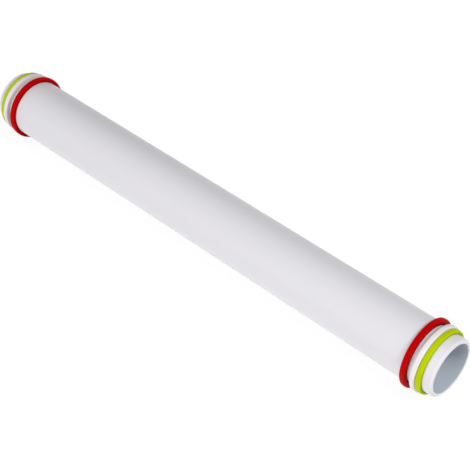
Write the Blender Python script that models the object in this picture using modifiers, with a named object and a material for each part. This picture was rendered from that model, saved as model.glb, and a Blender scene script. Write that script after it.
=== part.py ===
# Adjustable rolling pin: a hollow roller with a stepped bush in each end, and three elastic
# spacer rings of different height on each bush. The highest rings still on the pin run on the
# table and hold the roller that far above it, which sets the thickness of the dough.
# Lengths are in metres. The pin lies along X, with its middle at the origin and +Z up.

import math

import bpy
import bmesh

# Driving dimensions of the whole pin
OVERALL_LENGTH = 0.430
ROLLER_DIAMETER = 0.045
ROLLER_WALL = 0.0024
ROLLER_EDGE_BREAK = 0.0003

# End bush: the neck that carries the rings, below the roller's surface by its step, and the
# spigot pressed into the roller
NECK_STEP = 0.0012
SPIGOT_WALL = 0.0014
SPIGOT_LENGTH = 0.024
RIM_RADIUS = 0.0016
MOUTH_RADIUS = 0.0004
SPIGOT_LEAD_LENGTH = 0.0016
SPIGOT_LEAD_DEPTH = 0.0006

# Spacer rings: how far each stands above the roller, which is the dough's thickness
THIN_DOUGH = 0.0014
MEDIUM_DOUGH = 0.0023
THICK_DOUGH = 0.0032
RING_WIDTH = 0.0038
RING_CORNER_RADIUS = 0.0012
RING_INNER_EDGE = 0.0003

# Where the rings sit, counted inwards from the pin's end face. The thick ring stands against the
# roller. The other two slide freely, and on the left end they sit nearer to the end face.
FREE_COLLAR_LENGTH = 0.0071
LEFT_FREE_COLLAR_LENGTH = 0.0055
THIN_TO_MEDIUM_SPACE = 0.0002
MEDIUM_TO_THICK_SPACE = 0.0036

# Clearances between separate pieces
SEAT_CLEARANCE = 0.0003
RING_CLEARANCE = 0.0002

# Fineness of the turned surfaces
TURN_STEPS = 60
RING_CORNER_STEPS = 3
MOUTH_STEPS = 2
RIM_STEPS = 4
MERGE_DISTANCE = 0.00001
SHARP_ANGLE = math.radians(40)

# Sizes that follow from the ones above
ROLLER_RADIUS = ROLLER_DIAMETER / 2
ROLLER_BORE_RADIUS = ROLLER_RADIUS - ROLLER_WALL
NECK_RADIUS = ROLLER_RADIUS - NECK_STEP
SPIGOT_RADIUS = ROLLER_BORE_RADIUS - SEAT_CLEARANCE
BUSH_BORE_RADIUS = SPIGOT_RADIUS - SPIGOT_WALL
RING_BORE_RADIUS = NECK_RADIUS + RING_CLEARANCE
THIN_TO_MEDIUM = RING_WIDTH + THIN_TO_MEDIUM_SPACE
THIN_PLACE = FREE_COLLAR_LENGTH + RING_WIDTH / 2
LEFT_THIN_PLACE = LEFT_FREE_COLLAR_LENGTH + RING_WIDTH / 2
THICK_PLACE = THIN_PLACE + THIN_TO_MEDIUM + RING_WIDTH + MEDIUM_TO_THICK_SPACE
NECK_LENGTH = THICK_PLACE + RING_WIDTH / 2
ROLLER_LENGTH = OVERALL_LENGTH - 2 * (NECK_LENGTH + SEAT_CLEARANCE)

WHITE_ROLLER = ("roller_white", (0.78, 0.77, 0.80), 0.38)
WHITE_BUSH = ("bush_white", (0.84, 0.83, 0.85), 0.42)
RED_RING = ("ring_red", (0.62, 0.004, 0.008), 0.45)
WHITE_RING = ("ring_white", (0.86, 0.85, 0.86), 0.50)
LIME_RING = ("ring_lime", (0.50, 0.66, 0.005), 0.48)


def clear_scene():
    """Empty the file, so that only the rolling pin is in it."""
    for obj in list(bpy.data.objects):
        bpy.data.objects.remove(obj, do_unlink=True)


def plastic(finish):
    """A Principled material from a name, a base colour and a roughness."""
    name, colour, roughness = finish
    material = bpy.data.materials.new(name)
    material.use_nodes = True
    shader = material.node_tree.nodes["Principled BSDF"]
    shader.inputs["Base Color"].default_value = (*colour, 1.0)
    shader.inputs["Roughness"].default_value = roughness
    shader.inputs["Metallic"].default_value = 0.0
    return material


def arc(centre_radius, centre_height, size, start, end, steps):
    """Points (radius, height) of a rounded corner, from one angle in degrees to another."""
    points = []
    for step in range(steps + 1):
        angle = math.radians(start + (end - start) * step / steps)
        points.append((centre_radius + size * math.cos(angle), centre_height + size * math.sin(angle)))
    return points


def turned_mesh(name, profile, material):
    """Turn a closed profile of (radius, height) points round local Z.

    The profile runs down its outer side and up its inner side. It starts half a step round,
    so that a flat of the turned surface lies straight under the axis.
    """
    half_step = math.pi / TURN_STEPS
    outline = bpy.data.meshes.new(name + "_profile")
    shape = bmesh.new()
    corners = []
    for radius, height in profile:
        place = (radius * math.cos(half_step), radius * math.sin(half_step), height)
        corners.append(shape.verts.new(place))
    for first, second in zip(corners, corners[1:] + corners[:1]):
        shape.edges.new((first, second))
    shape.to_mesh(outline)
    shape.free()

    guide = bpy.data.objects.new(name + "_profile", outline)
    bpy.context.scene.collection.objects.link(guide)
    turn = guide.modifiers.new("turn", "SCREW")
    turn.axis = "Z"
    turn.angle = 2 * math.pi
    turn.steps = TURN_STEPS
    turn.render_steps = TURN_STEPS
    turn.use_merge_vertices = True
    turn.merge_threshold = MERGE_DISTANCE

    graph = bpy.context.evaluated_depsgraph_get()
    mesh = bpy.data.meshes.new_from_object(guide.evaluated_get(graph))
    mesh.name = name
    mesh.shade_smooth()
    mesh.set_sharp_from_angle(angle=SHARP_ANGLE)
    mesh.materials.append(material)
    bpy.data.objects.remove(guide, do_unlink=True)
    bpy.data.meshes.remove(outline)
    return mesh


def roller_profile():
    """A plain tube wall with its four edges broken."""
    top = ROLLER_LENGTH / 2
    edge = ROLLER_EDGE_BREAK
    return [
        (ROLLER_RADIUS - edge, top),
        (ROLLER_RADIUS, top - edge),
        (ROLLER_RADIUS, -top + edge),
        (ROLLER_RADIUS - edge, -top),
        (ROLLER_BORE_RADIUS + edge, -top),
        (ROLLER_BORE_RADIUS, -top + edge),
        (ROLLER_BORE_RADIUS, top - edge),
        (ROLLER_BORE_RADIUS + edge, top),
    ]


def bush_profile():
    """Rounded rim, plain neck, shoulder, spigot with a lead-in, and a straight bore.

    Height 0 is the pin's end face, and the bush runs down from it into the roller.
    """
    bottom = -NECK_LENGTH - SPIGOT_LENGTH
    rim = arc(NECK_RADIUS - RIM_RADIUS, -RIM_RADIUS, RIM_RADIUS, 90, 0, RIM_STEPS)
    mouth = arc(BUSH_BORE_RADIUS + MOUTH_RADIUS, -MOUTH_RADIUS, MOUTH_RADIUS, 180, 90, MOUTH_STEPS)
    outside = [
        (NECK_RADIUS, -NECK_LENGTH),
        (SPIGOT_RADIUS, -NECK_LENGTH),
        (SPIGOT_RADIUS, bottom + SPIGOT_LEAD_LENGTH),
        (SPIGOT_RADIUS - SPIGOT_LEAD_DEPTH, bottom),
    ]
    inside = [(BUSH_BORE_RADIUS, bottom)]
    return rim + outside + inside + mouth


def ring_profile(outer_radius):
    """A flat-sided band with rounded outer corners and broken inner edges."""
    half = RING_WIDTH / 2
    corner = RING_CORNER_RADIUS
    edge = RING_INNER_EDGE
    upper = arc(outer_radius - corner, half - corner, corner, 90, 0, RING_CORNER_STEPS)
    lower = arc(outer_radius - corner, -half + corner, corner, 0, -90, RING_CORNER_STEPS)
    inside = [
        (RING_BORE_RADIUS + edge, -half),
        (RING_BORE_RADIUS, -half + edge),
        (RING_BORE_RADIUS, half - edge),
        (RING_BORE_RADIUS + edge, half),
    ]
    return upper + lower + inside


def add_empty(name, parts, place, tilt):
    """An empty whose local Z lies along the pin, turned about Y by tilt."""
    empty = bpy.data.objects.new(name, None)
    empty.location = place
    empty.rotation_euler = (0.0, tilt, 0.0)
    parts.objects.link(empty)
    return empty


def add_piece(name, mesh, parts, parent, height):
    """A piece on its parent's local Z axis, at a height measured in the parent."""
    piece = bpy.data.objects.new(name, mesh)
    piece.parent = parent
    piece.location = (0.0, 0.0, height)
    parts.objects.link(piece)
    return piece


def add_end(side, direction, thin_place, parts, bush_mesh, ring_meshes):
    """One end of the pin: its bush, and the rings in the order in which they come off.

    Each ring is the child of the one behind it, because a ring that is pulled off pushes the
    rings outside it off the end first.
    """
    end = add_empty(
        "end_" + side, parts, (direction * OVERALL_LENGTH / 2, 0.0, 0.0), direction * math.pi / 2
    )
    add_piece("end_bush_" + side, bush_mesh, parts, end, 0.0)
    parent, parent_place = end, 0.0
    medium_place = thin_place + THIN_TO_MEDIUM
    for name, place in (("thick", THICK_PLACE), ("medium", medium_place), ("thin", thin_place)):
        height = parent_place - place
        parent = add_piece(f"{name}_ring_{side}", ring_meshes[name], parts, parent, height)
        parent_place = place


def build():
    clear_scene()
    parts = bpy.data.collections.new("adjustable_rolling_pin")
    bpy.context.scene.collection.children.link(parts)

    roller_mesh = turned_mesh("roller_tube", roller_profile(), plastic(WHITE_ROLLER))
    bush_mesh = turned_mesh("end_bush", bush_profile(), plastic(WHITE_BUSH))
    ring_meshes = {}
    for name, dough, finish in (
        ("thick", THICK_DOUGH, RED_RING),
        ("medium", MEDIUM_DOUGH, WHITE_RING),
        ("thin", THIN_DOUGH, LIME_RING),
    ):
        profile = ring_profile(ROLLER_RADIUS + dough)
        ring_meshes[name] = turned_mesh(f"{name}_ring", profile, plastic(finish))

    middle = add_empty("roller_axis", parts, (0.0, 0.0, 0.0), math.pi / 2)
    add_piece("roller_tube", roller_mesh, parts, middle, 0.0)
    for side, direction, thin_place in (("left", -1, LEFT_THIN_PLACE), ("right", 1, THIN_PLACE)):
        add_end(side, direction, thin_place, parts, bush_mesh, ring_meshes)

    print(f"roller tube {ROLLER_LENGTH * 1000:.1f} mm long, neck {NECK_LENGTH * 1000:.1f} mm")


build()
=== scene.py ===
# %% [markdown]
# # An adjustable rolling pin
#
# The pin is a hollow white roller without handles. A stepped bush is pressed into each end, and
# three elastic rings of different height sit on each bush's neck. The rings run on the table and
# hold the roller above it, so the highest pair still on the pin sets how thick the dough becomes.
#
# Everything here is turned on one axis, so this is a lesson in lathe work: draw half of a
# section, turn it once round, and give each piece a finish that holds up close to.
# The measured model comes first. It fixes where every piece is and how it moves.

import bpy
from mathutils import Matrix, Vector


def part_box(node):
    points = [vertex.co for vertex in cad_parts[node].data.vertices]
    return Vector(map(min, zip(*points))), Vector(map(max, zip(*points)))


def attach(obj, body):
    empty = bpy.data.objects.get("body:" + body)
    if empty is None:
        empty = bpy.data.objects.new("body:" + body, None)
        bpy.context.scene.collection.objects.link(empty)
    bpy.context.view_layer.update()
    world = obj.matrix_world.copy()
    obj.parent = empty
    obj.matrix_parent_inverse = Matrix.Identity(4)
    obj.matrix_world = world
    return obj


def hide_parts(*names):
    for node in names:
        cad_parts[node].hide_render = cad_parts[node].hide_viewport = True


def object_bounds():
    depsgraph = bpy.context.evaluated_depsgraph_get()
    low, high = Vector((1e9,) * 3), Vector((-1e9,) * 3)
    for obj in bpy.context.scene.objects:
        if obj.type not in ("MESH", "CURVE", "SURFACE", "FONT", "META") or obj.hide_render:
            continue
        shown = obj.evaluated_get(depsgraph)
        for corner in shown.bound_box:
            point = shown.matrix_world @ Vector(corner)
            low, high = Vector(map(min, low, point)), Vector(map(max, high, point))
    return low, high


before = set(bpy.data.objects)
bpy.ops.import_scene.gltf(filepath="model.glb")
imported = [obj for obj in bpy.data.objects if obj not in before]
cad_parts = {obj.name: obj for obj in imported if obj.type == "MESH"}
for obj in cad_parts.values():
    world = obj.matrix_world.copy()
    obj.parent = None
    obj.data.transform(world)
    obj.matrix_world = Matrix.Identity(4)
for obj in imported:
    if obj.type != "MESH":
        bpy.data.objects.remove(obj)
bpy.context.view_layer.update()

# %% [markdown]
# The lathe needs only two facts about each measured piece: where it starts and ends along the
# pin, and its smallest and largest distance from the pin's axis. Reading them from the model
# keeps the dressed pieces and the measured ones in step.

# %% Measure each piece
import math

import bmesh
import bpy
from mathutils import Quaternion, Vector

MM = 0.001


def span_along_pin(node):
    """Where a measured piece starts and ends along X, in metres."""
    low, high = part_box(node)
    return low.x, high.x


def span_from_axis(node):
    """The smallest and largest distance of a measured piece from the pin's axis."""
    distances = [math.hypot(corner.co.y, corner.co.z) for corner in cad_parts[node].data.vertices]
    return min(distances), max(distances)


for node in sorted(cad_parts):
    start, end = span_along_pin(node)
    inner, outer = span_from_axis(node)
    print(f"{node}: {start / MM:.1f} to {end / MM:.1f} mm along the pin")
    print(f"{node}: {inner / MM:.2f} to {outer / MM:.2f} mm from its axis")

# %% [markdown]
# No moulded or cut edge is truly sharp: each has a small radius that catches the light. So a
# section is given as its plain corners, each with the radius that rounds it, and this cell works
# out the arcs. Drawing every arc point by hand would hide the shape among numbers, and a Bevel
# modifier would need a weight on every edge to give the corners different radii.
#
# The order of the points matters. With the pin's axis to the right and the distance from it
# upwards, a section that runs anticlockwise is turned into faces that look out of the piece.

# %% Round the corners of a section
ARC_SPANS = 6
LONGEST_SPAN = 8 * MM


def rounded(corners):
    """Turn corners (along, radius, rounding) of a closed section into points with arcs."""
    points = []
    following = corners[1:] + corners[:1]
    for before, corner, after in zip(corners[-1:] + corners[:-1], corners, following):
        here = Vector(corner[:2])
        rounding = corner[2]
        back = (Vector(before[:2]) - here).normalized()
        ahead = (Vector(after[:2]) - here).normalized()
        half_opening = back.angle(ahead) / 2
        centre = here + (back + ahead).normalized() * (rounding / math.sin(half_opening))
        reach = rounding / math.tan(half_opening)
        first = (here + back * reach - centre).normalized()
        last = (here + ahead * reach - centre).normalized()
        for step in range(ARC_SPANS + 1):
            points.append(centre + first.slerp(last, step / ARC_SPANS) * rounding)
    return points


def divided(points):
    """Add points on long straight runs, so that the turned faces aren't long slivers."""
    finer = []
    for here, ahead in zip(points, points[1:] + points[:1]):
        spans = max(1, math.ceil((ahead - here).length / LONGEST_SPAN))
        for step in range(spans):
            finer.append(here.lerp(ahead, step / spans))
    return finer


def facing_out(points):
    """Order a section's points anticlockwise, so that the turned faces look out of the piece."""
    twice_the_area = sum(here.cross(ahead) for here, ahead in zip(points, points[1:] + points[:1]))
    return points if twice_the_area > 0 else points[::-1]


print(f"each corner gets {ARC_SPANS + 1} points, each straight run one every {LONGEST_SPAN / MM:.0f} mm")

# %% [markdown]
# The Screw modifier is Blender's lathe. With no height it turns a section once round its axis. A
# cylinder whose rings are moved one by one could have the same shape, but its section couldn't be
# read from the script. The turned skin is then kept as a real mesh. Weighted normals let the flat
# faces keep their own direction, so that only the small arcs bend the light and the flats don't
# look inflated.

# %% Turn a section on the lathe
TURN_STEPS = 192
MERGE_DISTANCE = 0.001 * MM


def turned(name, corners, place=0.0):
    """A piece turned round X from the corners of its section, with its origin at a place on X."""
    sketch = bmesh.new()
    points = facing_out(divided(rounded(corners)))
    corners_drawn = [sketch.verts.new((point.x - place, 0.0, point.y)) for point in points]
    for here, ahead in zip(corners_drawn, corners_drawn[1:] + corners_drawn[:1]):
        sketch.edges.new((here, ahead))
    section = bpy.data.meshes.new(name + "_section")
    sketch.to_mesh(section)
    sketch.free()

    blank = bpy.data.objects.new(name + "_section", section)
    bpy.context.scene.collection.objects.link(blank)
    lathe = blank.modifiers.new("lathe", "SCREW")
    lathe.axis = "X"
    lathe.steps = TURN_STEPS
    lathe.render_steps = TURN_STEPS
    lathe.use_merge_vertices = True
    lathe.merge_threshold = MERGE_DISTANCE
    shading = blank.modifiers.new("flats stay flat", "WEIGHTED_NORMAL")
    shading.keep_sharp = True

    graph = bpy.context.evaluated_depsgraph_get()
    skin = bpy.data.meshes.new_from_object(blank.evaluated_get(graph))
    skin.name = name
    bpy.data.objects.remove(blank, do_unlink=True)
    bpy.data.meshes.remove(section)

    piece = bpy.data.objects.new(name, skin)
    piece.location = (place, 0.0, 0.0)
    bpy.context.scene.collection.objects.link(piece)
    print(f"{name}: {len(skin.polygons)} faces, {piece.dimensions.x / MM:.1f} mm long")
    return piece


# %% [markdown]
# The roller is a plain extruded tube, sawn to length, with its four edges broken. A cylinder with
# a Solidify modifier would have the same wall, but its edges would be sharp. The tube reaches to
# within a hair of the red rings, which stand against its ends, so no dark joint shows there.

# %% The roller tube
END_JOINT = 0.05 * MM
TUBE_EDGE = 0.4 * MM

left_stop = span_along_pin("thick_ring_left")[1] + END_JOINT
right_stop = span_along_pin("thick_ring_right")[0] - END_JOINT
tube_bore, tube_surface = span_from_axis("roller_tube")
roller = turned(
    "roller_tube_skin",
    [
        (left_stop, tube_surface, TUBE_EDGE),
        (left_stop, tube_bore, TUBE_EDGE),
        (right_stop, tube_bore, TUBE_EDGE),
        (right_stop, tube_surface, TUBE_EDGE),
    ],
)

# %% [markdown]
# Each bush is one moulding. From the end face inwards it has a generously rounded rim, the neck
# that carries the rings, a shoulder, and a spigot with a short lead-in that is pressed into the
# roller. Its bore is straight and its mouth is only just broken. The two bushes are mirror
# images. A Mirror modifier would make both in one mesh, but they are two pieces, so one function
# draws them one after the other. It is told the side, and looks up which way that is along X.

# %% The end bushes
RIM_ROUNDING = 1.6 * MM
MOUTH_ROUNDING = 0.4 * MM
MOULD_EDGE = 0.25 * MM
SPIGOT_CLEARANCE = 0.05 * MM
LEAD_LENGTH = 1.6 * MM
LEAD_DEPTH = 0.6 * MM

SIDES = {"left": -1, "right": 1}


def end_bush(side):
    """The bush of one end, drawn from its end face inwards."""
    node = "end_bush_" + side
    low, high = span_along_pin(node)
    face, inner_end = (low, high) if side == "left" else (high, low)
    inwards = -SIDES[side]
    tube_end = left_stop if side == "left" else right_stop
    shoulder = tube_end - inwards * END_JOINT
    bore, neck = span_from_axis(node)
    spigot = tube_bore - SPIGOT_CLEARANCE
    return turned(
        node + "_skin",
        [
            (face, neck, RIM_ROUNDING),
            (shoulder, neck, MOULD_EDGE),
            (shoulder, spigot, MOULD_EDGE),
            (inner_end - inwards * LEAD_LENGTH, spigot, MOULD_EDGE),
            (inner_end, spigot - LEAD_DEPTH, MOULD_EDGE),
            (inner_end, bore, MOULD_EDGE),
            (face, bore, MOUTH_ROUNDING),
        ],
    )


bushes = {side: end_bush(side) for side in SIDES}

# %% [markdown]
# The rings are silicone bands of one width and three heights. Their outer corners are well
# rounded and their sides are flat. Real ones grip the neck. Here they stand off it by a hair, so
# that the two skins don't fight over the same place. Where the two halves of the mould met, a
# fine raised line runs round the outside. It is modelled, because a bump in the finish would
# vanish at the outline. Each ring's origin is at its own middle, so that its finish can tell how
# far a point is from that line.

# %% The spacer rings
RING_CORNER = 1.0 * MM
RING_HEEL = 0.25 * MM
RING_GRIP_GAP = 0.03 * MM
MOULD_LINE_WIDTH = 0.22 * MM
MOULD_LINE_HEIGHT = 0.04 * MM
MOULD_LINE_ROUNDING = 0.05 * MM

neck_radius = span_from_axis("end_bush_right")[1]


def spacer_ring(node):
    """One ring, a flat-sided band with a mould line round its outside."""
    start, end = span_along_pin(node)
    middle = (start + end) / 2
    low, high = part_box(node)
    crest = (high.z - low.z) / 2
    band = crest - MOULD_LINE_HEIGHT
    heel = neck_radius + RING_GRIP_GAP
    half_line = MOULD_LINE_WIDTH / 2
    return turned(
        node + "_skin",
        [
            (start, band, RING_CORNER),
            (middle - half_line, band, MOULD_LINE_ROUNDING),
            (middle, crest, MOULD_LINE_ROUNDING),
            (middle + half_line, band, MOULD_LINE_ROUNDING),
            (end, band, RING_CORNER),
            (end, heel, RING_HEEL),
            (start, heel, RING_HEEL),
        ],
        middle,
    )


rings = {}
for side in SIDES:
    for height in ("thick", "medium", "thin"):
        node = f"{height}_ring_{side}"
        rings[node] = spacer_ring(node)

# %% [markdown]
# The finishes are sums: a grain plus a streak, less a mask. Written as Math nodes, one line of
# arithmetic takes a screenful, so this small class wraps the output of a node and lets Python's
# own signs make the Math nodes. The reflected forms make 1 - mask work as well as mask - 1.

# %% Arithmetic with surface values
class Field:
    """A number that varies over a surface, as the output of a node."""

    def __init__(self, finish, socket):
        self.finish = finish
        self.socket = socket

    def maths(self, operation, first, second=None):
        """Add a Math node and return its output. Its first and second number fill its sockets."""
        numbers = {0: first} if second is None else {0: first, 1: second}
        return self.finish.node("ShaderNodeMath", {"operation": operation}, numbers)

    def __add__(self, other):
        return self.maths("ADD", self, other)

    def __radd__(self, other):
        return self.maths("ADD", other, self)

    def __sub__(self, other):
        return self.maths("SUBTRACT", self, other)

    def __rsub__(self, other):
        return self.maths("SUBTRACT", other, self)

    def __mul__(self, other):
        return self.maths("MULTIPLY", self, other)

    def __rmul__(self, other):
        return self.maths("MULTIPLY", other, self)

    def __lt__(self, other):
        return self.maths("LESS_THAN", self, other)

    def __abs__(self):
        return self.maths("ABSOLUTE", self)


print("a Field knows:", ", ".join(name for name, value in vars(Field).items() if callable(value)))

# %% [markdown]
# All other nodes come from one method. It takes the node's type, then its settings, which have
# to be made first because some of them change the sockets, and then what goes into the sockets:
# a value, a colour, or another node's output. The Mix node has one set of sockets for each kind
# of data, all with the same names, so its colour sockets are picked by their number.
#
# Every piece carries its texture with it by using Object coordinates, so the grain stays put
# when a ring is pulled off.

# %% A finish under construction
MIX_FIRST_COLOUR = 6
MIX_SECOND_COLOUR = 7
MIX_COLOUR_OUT = 2
GRAIN_DETAIL = 2.0


class Finish:
    """A material whose nodes are added one at a time."""

    def __init__(self, name):
        self.name = name
        self.material = bpy.data.materials.new(name)
        self.material.use_nodes = True
        self.tree = self.material.node_tree
        self.shader = self.tree.nodes["Principled BSDF"]
        self.output = self.tree.nodes["Material Output"]

    def node(self, kind, settings=None, inputs=None, output=0):
        """Add a node and return one of its outputs as a Field."""
        added = self.tree.nodes.new(kind)
        for name, value in (settings or {}).items():
            setattr(added, name, value)
        self.feed(added, inputs or {})
        return Field(self, added.outputs[output])

    def feed(self, target, inputs):
        """Put values, colours or other nodes' outputs into a node's sockets."""
        for name, value in inputs.items():
            if isinstance(value, Field):
                self.tree.links.new(value.socket, target.inputs[name])
            else:
                target.inputs[name].default_value = value

    def place(self):
        """Where a point is on the piece, as a vector in metres."""
        return self.node("ShaderNodeTexCoord", output="Object")

    def along(self):
        """How far a point is along the pin from the piece's origin."""
        return self.node("ShaderNodeSeparateXYZ", inputs={"Vector": self.place()}, output="X")

    def distance_from_axis(self):
        """How far a point is from the pin's axis, from the Y and Z of its place."""
        flat = self.node(
            "ShaderNodeVectorMath", {"operation": "MULTIPLY"}, {0: self.place(), 1: (0.0, 1.0, 1.0)}
        )
        return self.node("ShaderNodeVectorMath", {"operation": "LENGTH"}, {0: flat}, "Value")

    def grain(self, size, stretch=(1.0, 1.0, 1.0)):
        """Noise from 0 to 1 whose blotches are about `size` metres across, longer where stretched."""
        frequency = tuple(1.0 / (size * longer) for longer in stretch)
        scaled = self.node(
            "ShaderNodeVectorMath", {"operation": "MULTIPLY"}, {0: self.place(), 1: frequency}
        )
        return self.node(
            "ShaderNodeTexNoise", inputs={"Vector": scaled, "Scale": 1.0, "Detail": GRAIN_DETAIL}
        )

    def blend(self, share, first, second):
        """Mix two colours by a share from 0 to 1."""
        return self.node(
            "ShaderNodeMix",
            {"data_type": "RGBA"},
            {"Factor": share, MIX_FIRST_COLOUR: first, MIX_SECOND_COLOUR: second},
            MIX_COLOUR_OUT,
        )

    def relief(self, height, depth):
        """Turn a height from 0 to 1 into a surface normal, `depth` metres deep."""
        return self.node(
            "ShaderNodeBump", inputs={"Height": height, "Distance": depth, "Strength": 1.0}, output="Normal"
        )

    def tell(self):
        """Print how many nodes the finish has."""
        print(f"{self.name}: {len(self.tree.nodes)} nodes")


print("a Finish knows:", ", ".join(name for name, value in vars(Finish).items() if callable(value)))

# %% [markdown]
# The roller's finish. Extruded plastic has a satin skin with three faint marks of its making:
# a fine orange peel, long streaks left by the die, and a very slight drift of tone. The plastic
# is white with a touch of lavender. The peel and the streaks are less than a hundredth of a
# millimetre deep, because dough must not stick in them, but they keep the long highlight from
# looking computed. A picture of real plastic would bring its own light and shade along, so the
# marks are built from noise.
#
# Colours are linear values, as Blender's sockets take them. They look lighter than they read.

# %% Satin extruded white
ROLLER_WHITE = (0.795, 0.782, 0.818, 1.0)
ROLLER_WHITE_DEEP = (0.778, 0.765, 0.802, 1.0)
PEEL_SIZE = 0.7 * MM
PEEL_DEPTH = 0.006 * MM
PEEL_IN_RELIEF = 0.6
STREAK_SIZE = 0.9 * MM
STREAK_STRETCH = (90.0, 1.0, 1.0)
STREAK_IN_RELIEF = 0.4
STREAK_IN_COLOUR = 0.3
TONE_SIZE = 45 * MM
TONE_IN_COLOUR = 0.7
ROLLER_ROUGHNESS = 0.36
ROLLER_ROUGHNESS_DRIFT = 0.05
PLASTIC_IOR = 1.49

extruded = Finish("roller_white_satin")
peel = extruded.grain(PEEL_SIZE)
streak = extruded.grain(STREAK_SIZE, stretch=STREAK_STRETCH)
tone = extruded.grain(TONE_SIZE)
drift = tone * TONE_IN_COLOUR + streak * STREAK_IN_COLOUR
extruded.feed(
    extruded.shader,
    {
        "Base Color": extruded.blend(drift, ROLLER_WHITE, ROLLER_WHITE_DEEP),
        "Roughness": ROLLER_ROUGHNESS + tone * ROLLER_ROUGHNESS_DRIFT + streak * ROLLER_ROUGHNESS_DRIFT,
        "Normal": extruded.relief(peel * PEEL_IN_RELIEF + streak * STREAK_IN_RELIEF, PEEL_DEPTH),
        "IOR": PLASTIC_IOR,
    },
)
extruded.tell()

# %% [markdown]
# The bush's finish. Moulded plastic is more even than extruded plastic: a fine spark-eroded
# texture, no streaks, and a slightly lighter white with a little more lavender. Its bore is painted
# a cooler, darker bluish grey, which is painted shade for the inside of the tube. The bore's faces
# could be picked out and given a second material. Asking how far a point is from the axis needs no
# picking, and keeps the bush in one finish.

# %% Moulded white with painted shade in the bore
BUSH_WHITE = (0.828, 0.800, 0.855, 1.0)
BUSH_WHITE_DEEP = (0.808, 0.782, 0.836, 1.0)
# The bore's grey is painted shade for the inside of the tube, not a colour of the plastic.
BORE_SHADE_GREY = (0.57, 0.62, 0.69, 1.0)
TEXTURE_SIZE = 0.35 * MM
TEXTURE_DEPTH = 0.004 * MM
BUSH_TONE_SIZE = TONE_SIZE / 2
BUSH_ROUGHNESS = 0.40
BUSH_ROUGHNESS_DRIFT = 0.06
BORE_MARGIN = 0.15 * MM

bore_radius = span_from_axis("end_bush_right")[0]

moulded = Finish("bush_white_moulded")
texture = moulded.grain(TEXTURE_SIZE)
tone = moulded.grain(BUSH_TONE_SIZE)
# Painted shade: points inside the bore get the darker, cooler grey.
shade_in_bore = moulded.distance_from_axis() < bore_radius + BORE_MARGIN
outside = moulded.blend(tone, BUSH_WHITE, BUSH_WHITE_DEEP)
moulded.feed(
    moulded.shader,
    {
        "Base Color": moulded.blend(shade_in_bore, outside, BORE_SHADE_GREY),
        "Roughness": BUSH_ROUGHNESS + texture * BUSH_ROUGHNESS_DRIFT,
        "Normal": moulded.relief(texture, TEXTURE_DEPTH),
        "IOR": PLASTIC_IOR,
    },
)
moulded.tell()

# %% [markdown]
# The rings' finish. Coloured silicone has a dull skin that mirrors very little. Its colour drifts
# by two to ten percent, handling leaves it more polished in places, and the mould line is a touch
# smoother than the skin beside it. The foot of each ring is painted darker by its height above the
# neck. This is painted shade: it stands in for the shade where the ring meets the neck and, most
# likely, for light that the slightly translucent rubber loses there. True scattering would take
# longer to render. One function makes all three colours, because only the pigment differs.

# %% Silicone in three colours
RING_SLOTS = {"thick": "ring_red", "medium": "ring_white", "thin": "ring_lime"}
# Each FOOT colour below is painted shade for where the ring meets the neck.
RED = (0.58, 0.0, 0.0, 1.0)
RED_DEEP = (0.52, 0.0, 0.0, 1.0)
RED_FOOT_SHADE = (0.13, 0.0, 0.0, 1.0)
WHITE = (0.88, 0.84, 0.856, 1.0)
WHITE_DEEP = (0.86, 0.825, 0.84, 1.0)
WHITE_FOOT_SHADE = (0.78, 0.75, 0.76, 1.0)
LIME = (0.53, 0.645, 0.0, 1.0)
LIME_DEEP = (0.50, 0.615, 0.0, 1.0)
LIME_FOOT_SHADE = (0.25, 0.33, 0.0, 1.0)
SKIN_SIZE = 0.25 * MM
SKIN_DEPTH = 0.008 * MM
HANDLED_SIZE = 9 * MM
SILICONE_ROUGHNESS = 0.52
SKIN_ROUGHER_BY = 0.06
HANDLED_SMOOTHER_BY = 0.10
LINE_SMOOTHER_BY = 0.06
SILICONE_IOR = 1.41
SILICONE_GLOSS = 0.05
FOOT_SHADE_SHARE = 0.85


def silicone(height, pigment, pigment_deep, foot_shade_colour):
    """The finish of the rings of one height: two close tones of a pigment, and painted shade at the foot.
    """
    finish = Finish(f"{RING_SLOTS[height]}_silicone")
    crest = span_from_axis(f"{height}_ring_right")[1]
    skin = finish.grain(SKIN_SIZE)
    handled = finish.grain(HANDLED_SIZE)
    on_line = abs(finish.along()) < MOULD_LINE_WIDTH / 2
    # Painted shade: the ring darkens towards its foot, where it meets the neck.
    foot_shade = finish.node(
        "ShaderNodeMapRange",
        {"interpolation_type": "SMOOTHSTEP"},
        {
            "Value": finish.distance_from_axis(),
            "From Min": neck_radius,
            "From Max": neck_radius + FOOT_SHADE_SHARE * (crest - neck_radius),
            "To Min": 1.0,
            "To Max": 0.0,
        },
    )
    skin_roughness = SILICONE_ROUGHNESS + skin * SKIN_ROUGHER_BY
    finish.feed(
        finish.shader,
        {
            "Base Color": finish.blend(foot_shade, finish.blend(handled, pigment, pigment_deep), foot_shade_colour),
            "Roughness": skin_roughness - handled * HANDLED_SMOOTHER_BY - on_line * LINE_SMOOTHER_BY,
            "Normal": finish.relief(skin * (1 - on_line), SKIN_DEPTH),
            "IOR": SILICONE_IOR,
            "Specular IOR Level": SILICONE_GLOSS,
        },
    )
    finish.tell()
    return finish.material


ring_finishes = {
    "thick": silicone("thick", RED, RED_DEEP, RED_FOOT_SHADE),
    "medium": silicone("medium", WHITE, WHITE_DEEP, WHITE_FOOT_SHADE),
    "thin": silicone("thin", LIME, LIME_DEEP, LIME_FOOT_SHADE),
}

# %% [markdown]
# Each dressed piece now takes the place of its measured one, which is hidden and stays behind for
# the collisions. The dressed piece rides on the same body, so the rings slide as the measured
# rings do.

# %% Dress the model
def dress(piece, node, body, material):
    """Put a piece in a measured piece's place, with its finish and its body."""
    piece.data.materials.clear()
    piece.data.materials.append(material)
    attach(piece, body)
    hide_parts(node)


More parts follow.
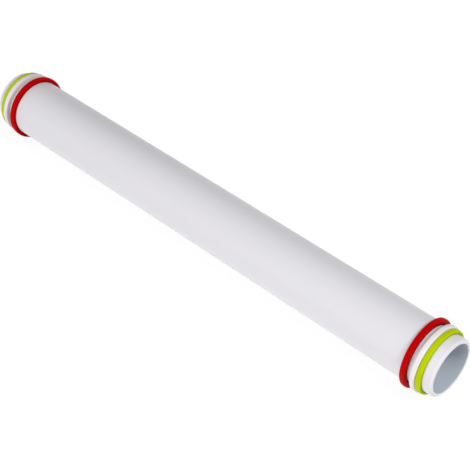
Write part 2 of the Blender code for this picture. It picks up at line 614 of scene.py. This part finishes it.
dress(roller, "roller_tube", "roller", extruded.material)
for side, bush in bushes.items():
    dress(bush, "end_bush_" + side, "roller", moulded.material)
for node, ring in rings.items():
    height = node.split("_")[0]
    dress(ring, node, node, ring_finishes[height])
print("dressed", 1 + len(bushes) + len(rings), "pieces")

# %% [markdown]
# The pin lies on a plain white table with a white surround. What lights the pin and what the
# camera sees are kept apart: the camera, and reflections, see white, while the light that
# reaches the pin stays at a plain level. Stronger lamps could make the background white as well,
# but they would bleach the pin. A Light Path node tells the two kinds of ray apart.

# %% Tell a look from the light
SEEING_RAYS = ("Camera", "Glossy", "Transmission")


def seen_directly(finish):
    """1 for the camera, reflections and light seen through glass, 0 for light on its way."""
    camera, glossy, through = (
        finish.node("ShaderNodeLightPath", output=f"Is {kind} Ray") for kind in SEEING_RAYS
    )
    return finish.node("ShaderNodeMath", {"operation": "MINIMUM"}, {0: camera + glossy + through, 1: 1.0})


print("rays that see the white:", ", ".join(SEEING_RAYS))

# %% [markdown]
# The table is one large sheet whose finish mixes a matt white with a glow. The glow is most of
# what the camera sees, so the table looks white, and the matt part keeps a soft shadow under the
# pin. With glow alone there would be no shadow, and the pin would seem to float.

# %% The table
TABLE_SIZE = 4.0
TABLE_WHITE = (0.92, 0.92, 0.92, 1.0)
TABLE_GLOW_SHARE = 0.80
TABLE_GLOW = 1.12

table_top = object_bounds()[0].z
half = TABLE_SIZE / 2
table_mesh = bpy.data.meshes.new("table")
table_mesh.from_pydata(
    [(-half, -half, 0.0), (half, -half, 0.0), (half, half, 0.0), (-half, half, 0.0)], [], [(0, 1, 2, 3)]
)
table = bpy.data.objects.new("table", table_mesh)
table.location.z = table_top
bpy.context.scene.collection.objects.link(table)

paper = Finish("table_white")
paper.tree.nodes.remove(paper.shader)
matt = paper.node("ShaderNodeBsdfDiffuse", inputs={"Color": TABLE_WHITE})
glow = paper.node("ShaderNodeEmission", inputs={"Strength": TABLE_GLOW})
share = seen_directly(paper) * TABLE_GLOW_SHARE
mixed = paper.node("ShaderNodeMixShader", inputs={0: share, 1: matt, 2: glow})
paper.feed(paper.output, {"Surface": mixed})
table.data.materials.append(paper.material)
paper.tell()
print(f"table top at {table_top / MM:.1f} mm, where the highest rings touch it")

# %% [markdown]
# The surround is Blender's world. It gives the pin a little light from all round, so that no side
# turns black, and it is plain white where the camera or a reflection sees it. Walls and a ceiling
# could do the same, but other views would have to look past them.

# %% The surround
SURROUND_LIGHT = 0.28
SURROUND_WHITE = (1.0, 1.0, 1.0, 1.0)

surround = bpy.data.worlds.new("surround")
bpy.context.scene.world = surround
surround.use_nodes = True


class Sky(Finish):
    """The world's nodes, added in the same way as a material's."""

    def __init__(self, world):
        self.name = world.name
        self.tree = world.node_tree
        self.shader = self.tree.nodes["Background"]


sky = Sky(surround)
brightness = SURROUND_LIGHT + seen_directly(sky) * (1.0 - SURROUND_LIGHT)
sky.feed(sky.shader, {"Color": SURROUND_WHITE, "Strength": brightness})
sky.tell()

# %% [markdown]
# The main lamp is large and soft and stands low in front of the pin. It lights the side that
# faces the viewer and leaves the top a little darker, which is what makes the tube read as round.
# A second, smaller lamp stands beyond the right end and higher. It lights that end's face and
# shines into the bore, whose lower half it brightens. A weak third one fills in the left end. A
# lamp's power is worked out from the light that it should give at the pin, so that moving the
# lamp hardly changes the exposure. The lamps don't show in reflections: the satin skin mirrors
# only the white surround, as it does in a light tent.

# %% The lamps
def lamp(name, azimuth, elevation, distance, size, level):
    """Add a square soft lamp, looking at the pin's middle.

    A small lamp gives a surface facing it `level` of what a white surround would. A large one
    gives a little less.
    """
    light = bpy.data.lights.new(name, "AREA")
    light.shape = "SQUARE"
    light.size = size
    light.energy = level * (math.pi * distance) ** 2
    source = bpy.data.objects.new(name, light)
    turn, rise = math.radians(azimuth), math.radians(elevation)
    towards = Vector((math.sin(turn) * math.cos(rise), -math.cos(turn) * math.cos(rise), math.sin(rise)))
    source.location = towards * distance
    source.rotation_euler = (-towards).to_track_quat("-Z", "Y").to_euler()
    source.visible_camera = False
    source.visible_glossy = False
    bpy.context.scene.collection.objects.link(source)
    print(f"{name}: {light.energy:.1f} W at {tuple(round(value, 2) for value in source.location)}")


lamp("front_lamp", azimuth=-6.0, elevation=8.0, distance=2.6, size=1.8, level=0.71)
lamp("right_end_lamp", azimuth=93.0, elevation=45.0, distance=1.3, size=0.4, level=0.49)
lamp("left_end_lamp", azimuth=-90.0, elevation=12.0, distance=1.3, size=0.9, level=0.05)

# %% [markdown]
# The camera looks down on the right end from about 41 degrees above the table, with the pin
# running away to the left. Its place was found by matching the pin's two long edges, the bore
# and the end rings. It is rolled by a seventh of a degree and isn't shifted. Its lens is a long
# one, so the far end looks only about a fifth smaller than the near end.

# %% The camera
CAMERA_PLACE = Vector((0.505566, -0.506042, 0.614532))
CAMERA_LOOKS = Vector((-0.516193, 0.543199, -0.662178))
CAMERA_ROLL = math.radians(0.143)
LENS = 99.96
SENSOR_WIDTH = 36.0
NEAREST_SEEN = 0.01

camera_data = bpy.data.cameras.new("camera")
camera_data.lens = LENS
camera_data.sensor_width = SENSOR_WIDTH
camera_data.clip_start = NEAREST_SEEN
camera = bpy.data.objects.new("camera", camera_data)
camera.location = CAMERA_PLACE
level_aim = CAMERA_LOOKS.to_track_quat("-Z", "Y")
camera.rotation_euler = (level_aim @ Quaternion((0.0, 0.0, 1.0), CAMERA_ROLL)).to_euler()
bpy.context.scene.collection.objects.link(camera)
bpy.context.scene.camera = camera
bpy.context.scene.view_settings.view_transform = "Standard"
print(f"camera {CAMERA_PLACE.length:.3f} m from the pin's middle, with a {LENS} mm lens")

# %% [markdown]
